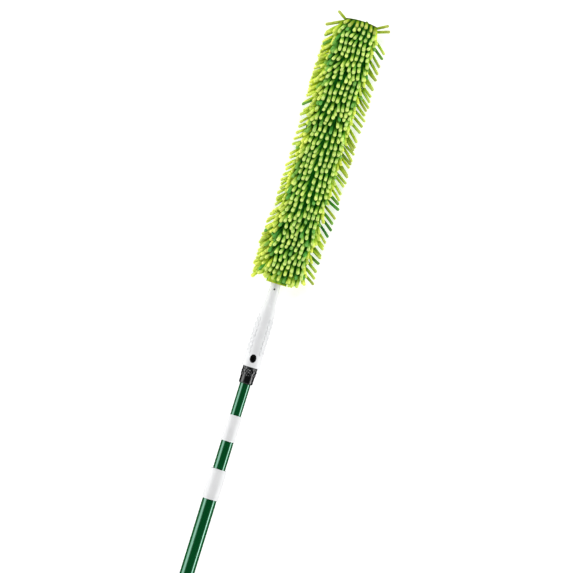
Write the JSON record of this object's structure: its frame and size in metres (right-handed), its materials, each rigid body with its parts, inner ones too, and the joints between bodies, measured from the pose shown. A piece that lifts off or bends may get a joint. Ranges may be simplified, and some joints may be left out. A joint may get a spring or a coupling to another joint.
{
  "type": "microfiber duster",
  "caption": "Long flat chenille duster head that bends, on a hand grip with a release button and a telescopic twist-lock pole.",
  "frame": {"origin": "centre of the flat end of the pole's end cap, on the pole's axis", "axes": "+X along the pole towards the head's tip, +Z out of the face with the release button, +Y to the left of someone who looks at that face with the head up"},
  "size_m": [1.328, 0.1114, 0.0549],
  "materials": {
    "green_lacquer": "glossy dark green lacquer on thin steel tube",
    "white_plastic": "satin white moulding",
    "black_plastic": "satin black moulding",
    "lock_plastic": "natural nylon",
    "spring_steel": "drawn wire",
    "dark_steel": "dark pin end",
    "core_plastic": "flexible plate, hidden in the sleeve",
    "chenille": "chenille microfiber fingers, lime and green, on a green backing"
  },
  "bodies": {
    "pole_lower": {"end_cap": "black_plastic", "lower_tube": "green_lacquer", "lower_ferrule": "white_plastic"},
    "mid_lock": {"mid_lock_ring": "lock_plastic"},
    "pole_mid": {"mid_tube": "green_lacquer", "mid_ferrule": "white_plastic", "mid_lock_plug": "lock_plastic"},
    "upper_lock": {"upper_lock_ring": "lock_plastic"},
    "pole_upper": {"upper_tube": "green_lacquer", "upper_lock_plug": "lock_plastic", "pole_adapter": "black_plastic", "button_spring": "spring_steel", "grip": "white_plastic", "neck_pin": "dark_steel", "core_link_1": "core_plastic", "sleeve_hem": "chenille", "sleeve_front_1": "chenille", "sleeve_back_1": "chenille"},
    "button": {"release_button": "black_plastic"},
    "head_2": {"core_link_2": "core_plastic", "sleeve_front_2": "chenille", "sleeve_back_2": "chenille"},
    "head_3": {"core_link_3": "core_plastic", "sleeve_front_3": "chenille", "sleeve_back_3": "chenille"},
    "head_4": {"core_link_4": "core_plastic", "sleeve_front_4": "chenille", "sleeve_back_4": "chenille", "tip_closure": "chenille"}
  },
  "joints": [
    {"name": "mid_extend", "type": "slide", "parent": "pole_lower", "child": "mid_lock", "axis": [1, 0, 0], "range_m": [-0.0505, 0.32]},
    {"name": "mid_twist", "type": "hinge", "parent": "mid_lock", "child": "pole_mid", "pos_m": [0.1228, 0, 0], "axis": [1, 0, 0], "range_deg": [0, 120]},
    {"name": "upper_extend", "type": "slide", "parent": "pole_mid", "child": "upper_lock", "axis": [1, 0, 0], "range_m": [-0.0575, 0.32]},
    {"name": "upper_twist", "type": "hinge", "parent": "upper_lock", "child": "pole_upper", "pos_m": [0.2258, 0, 0], "axis": [1, 0, 0], "range_deg": [0, 120]},
    {"name": "button_press", "type": "slide", "parent": "pole_upper", "child": "button", "axis": [0, 0, -1], "range_m": [0, 0.0052], "stiffness_N_per_m": 900, "springref_m": -0.002, "deforming": ["button_spring"]},
    {"name": "bend_1", "type": "hinge", "parent": "pole_upper", "child": "head_2", "pos_m": [0.9781, 0, 0], "axis": [0, 1, 0], "range_deg": [-30, 30], "deforming": ["sleeve_front_1", "sleeve_back_1"]},
    {"name": "bend_2", "type": "hinge", "parent": "head_2", "child": "head_3", "pos_m": [1.0881, 0, 0], "axis": [0, 1, 0], "range_deg": [-30, 30], "deforming": ["sleeve_front_2", "sleeve_back_2"]},
    {"name": "bend_3", "type": "hinge", "parent": "head_3", "child": "head_4", "pos_m": [1.1981, 0, 0], "axis": [0, 1, 0], "range_deg": [-30, 30], "deforming": ["sleeve_front_3", "sleeve_back_3", "sleeve_front_4", "sleeve_back_4"]}
  ]
}
